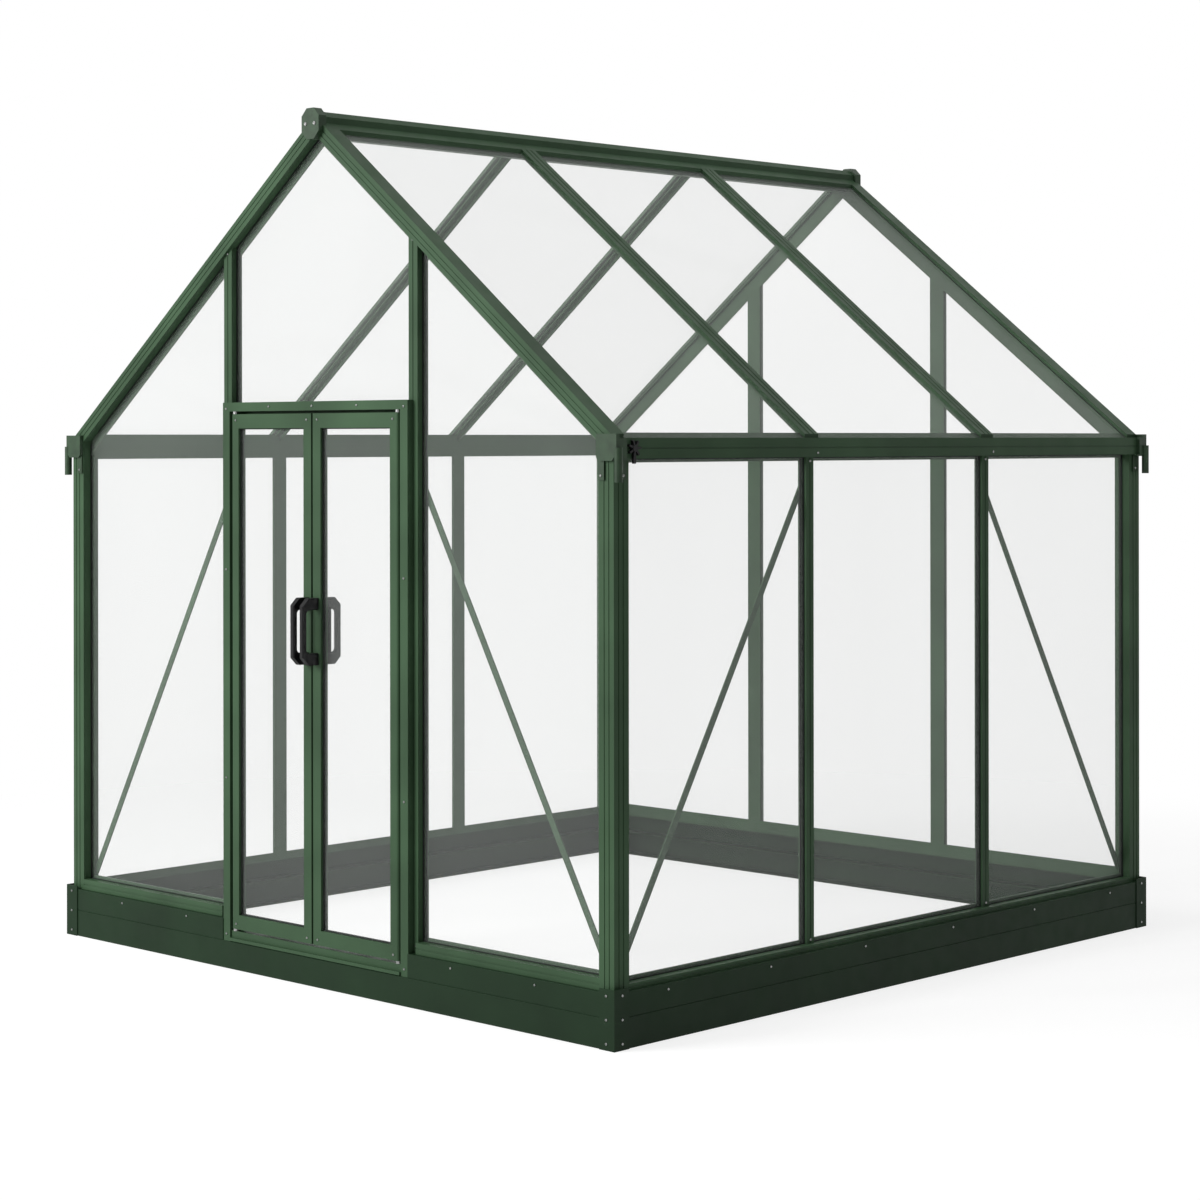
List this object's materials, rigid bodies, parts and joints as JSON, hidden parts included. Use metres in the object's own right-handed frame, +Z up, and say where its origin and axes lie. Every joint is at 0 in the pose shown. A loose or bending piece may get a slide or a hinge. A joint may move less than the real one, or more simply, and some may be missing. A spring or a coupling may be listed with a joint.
{
  "type": "small greenhouse",
  "caption": "Small gabled greenhouse: green metal frame on a steel base, clear panes, eave gutters and a pair of hinged door leaves.",
  "frame": {"origin": "under the centre of the bounding box, at ground level; the handles reach 40 mm past the front, so the walls are centred on y = 0.02 m", "axes": "+Z up, +X to the right when facing the door gable, +Y from the door gable towards the back gable"},
  "size_m": [1.876, 1.9, 1.9153],
  "materials": {
    "base_steel": "dark green powder coat on steel sheet",
    "frame_aluminium": "dark green powder coat on aluminium profiles",
    "clear_pane": "clear, slightly milky",
    "green_plastic": "moulded dark green plastic",
    "black_plastic": "moulded black plastic",
    "zinc_steel": "zinc plated"
  },
  "bodies": {
    "house": {"back_panes": "clear_pane", "back_posts": "frame_aluminium", "back_rafters": "frame_aluminium", "back_studs": "frame_aluminium", "base_corner_plates": "base_steel", "door_header": "frame_aluminium", "door_jambs": "frame_aluminium", "door_pivots": "zinc_steel", "door_threshold": "frame_aluminium", "front_braces": "frame_aluminium", "front_panes": "clear_pane", "front_posts": "frame_aluminium", "front_rafters": "frame_aluminium", "front_studs": "frame_aluminium", "gable_base_lower": "base_steel", "gable_base_upper": "base_steel", "gable_sills": "frame_aluminium", "gutter_ends": "green_plastic", "left_eave_rail": "frame_aluminium", "left_panes": "clear_pane", "left_roof_bars": "frame_aluminium", "left_roof_panes": "clear_pane", "left_wall_studs": "frame_aluminium", "ridge_beam": "frame_aluminium", "ridge_end_caps": "green_plastic", "right_eave_rail": "frame_aluminium", "right_panes": "clear_pane", "right_roof_bars": "frame_aluminium", "right_roof_panes": "clear_pane", "right_wall_braces": "frame_aluminium", "right_wall_studs": "frame_aluminium", "side_base_lower": "base_steel", "side_base_upper": "base_steel", "side_sills": "frame_aluminium"},
    "left_leaf": {"left_door_glass": "clear_pane", "left_door_handles": "black_plastic", "left_door_rails": "frame_aluminium", "left_door_stiles": "frame_aluminium"},
    "right_leaf": {"right_door_glass": "clear_pane", "right_door_handles": "black_plastic", "right_door_rails": "frame_aluminium", "right_door_stiles": "frame_aluminium"}
  },
  "joints": [
    {"name": "left_door_hinge", "type": "hinge", "parent": "house", "child": "left_leaf", "pos_m": [-0.2775, -0.899, 0.6], "axis": [0, 0, -1], "range_deg": [0, 100]},
    {"name": "right_door_hinge", "type": "hinge", "parent": "house", "child": "right_leaf", "pos_m": [0.2775, -0.899, 0.6], "axis": [0, 0, 1], "range_deg": [0, 100]}
  ]
}
